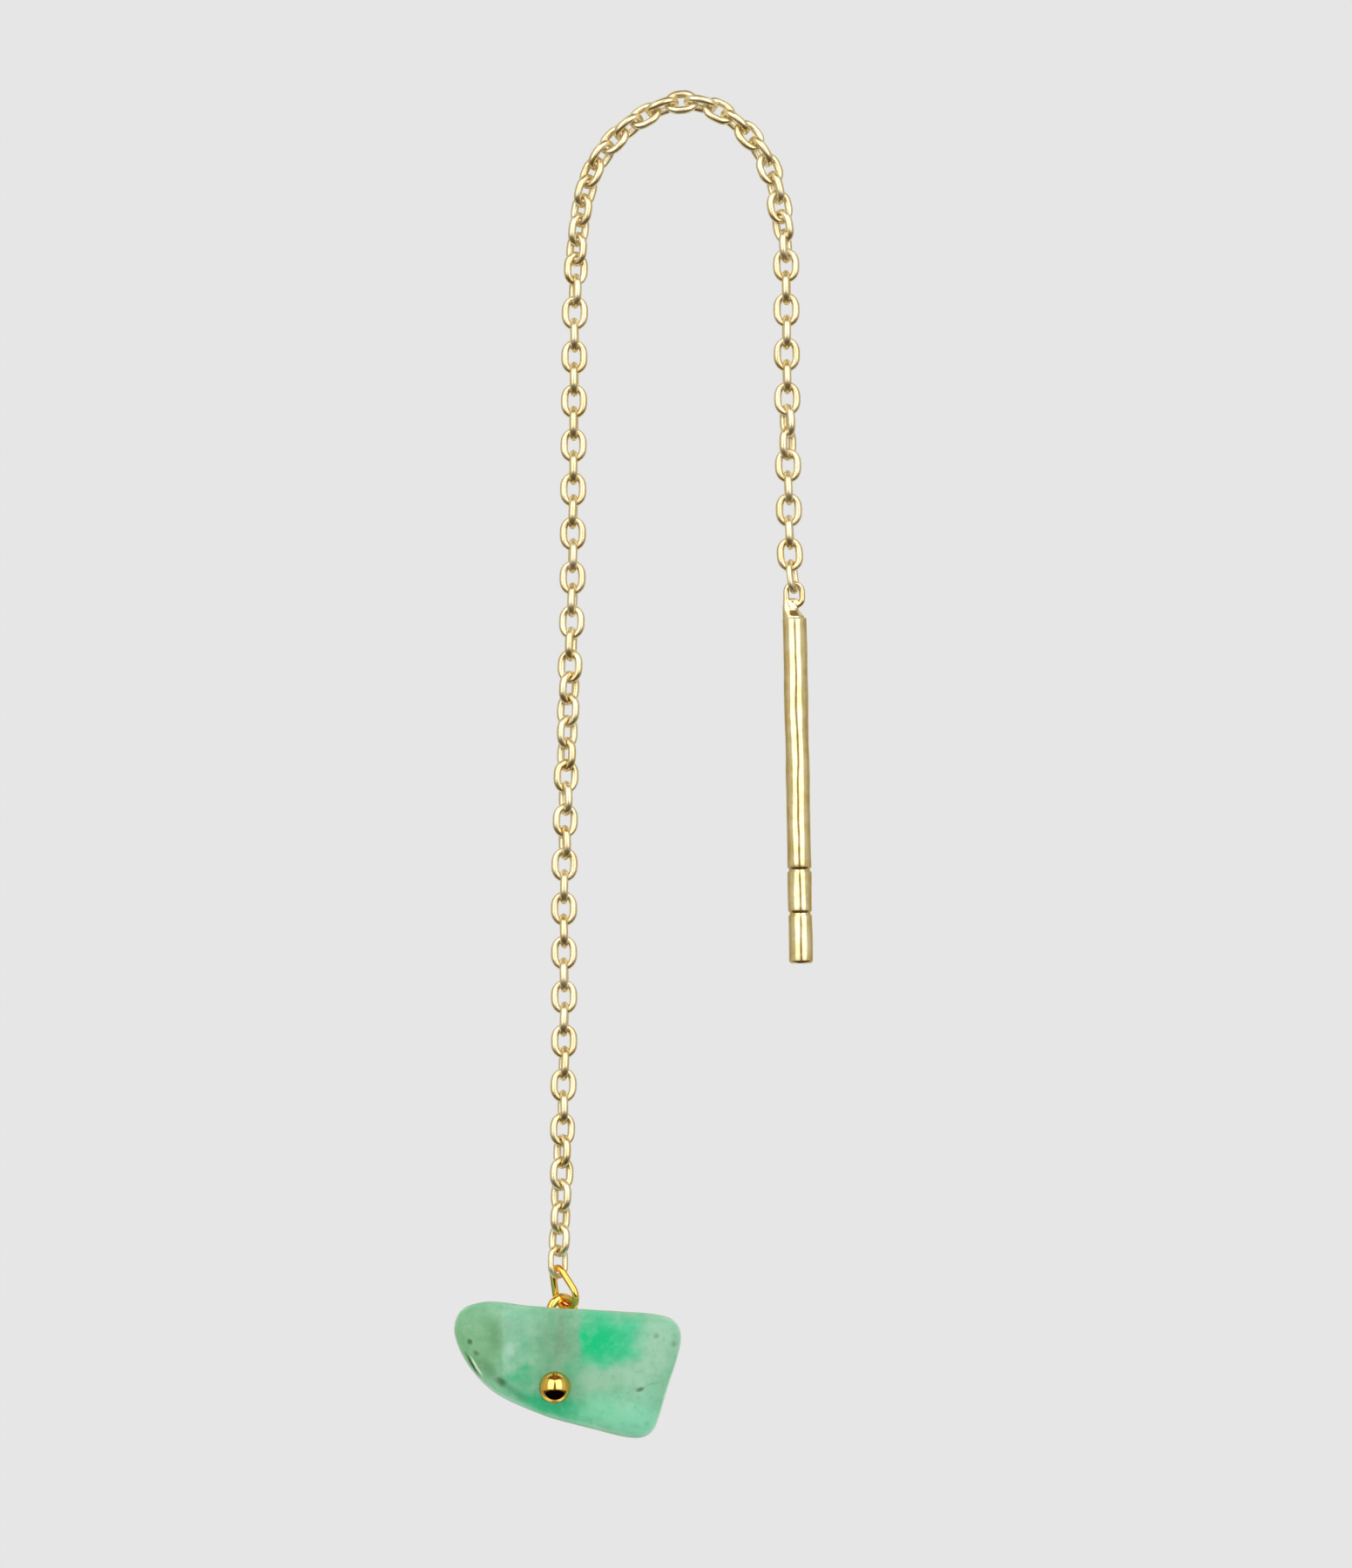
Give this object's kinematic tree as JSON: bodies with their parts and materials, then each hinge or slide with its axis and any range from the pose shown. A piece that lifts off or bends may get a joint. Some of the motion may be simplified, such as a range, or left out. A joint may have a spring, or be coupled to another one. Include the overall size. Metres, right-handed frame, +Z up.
{
  "type": "chain threader earring with a stone drop",
  "caption": "Ear threader: a fine gold cable chain hung in an arch, with a round threader bar on one end and a pinned green stone chip on the other.",
  "frame": {"origin": "middle of the chain at the top of the arch, where it hangs in the ear's piercing", "axes": "+X to the viewer's right in the plane of the arch, +Y away from the viewer, +Z up"},
  "size_m": [0.0136, 0.0041, 0.0511],
  "materials": {
    "champagne_gold": "polished pale gold plating",
    "yellow_gold": "polished yellow gold plating",
    "green_stone": "tumbled and polished, translucent"
  },
  "bodies": {
    "root": {"chain_drop_low": "champagne_gold", "chain_drop_high": "champagne_gold", "chain_arch": "champagne_gold", "chain_bar_side": "champagne_gold", "end_link_drop": "champagne_gold", "end_link_bar": "champagne_gold"},
    "link": {"drop_link": "yellow_gold"},
    "pendant": {"head_pin": "yellow_gold", "stone": "green_stone"},
    "bar": {"threader_bar": "champagne_gold"}
  },
  "joints": [
    {"name": "drop_link_swing", "type": "hinge", "parent": "root", "child": "link", "pos_m": [-0.00493, 0, -0.04449], "axis": [0.6947, 0.7193, 0], "range_deg": [-60, 60]},
    {"name": "stone_swing", "type": "hinge", "parent": "link", "child": "pendant", "pos_m": [-0.0047, 0.00028, -0.04567], "axis": [0.6865, -0.6037, -0.4053], "range_deg": [-40, 50]},
    {"name": "bar_swing", "type": "hinge", "parent": "root", "child": "bar", "pos_m": [0.00402, 0, -0.01853], "axis": [0.2736, 0.9613, 0.0336], "range_deg": [-75, 75]}
  ]
}
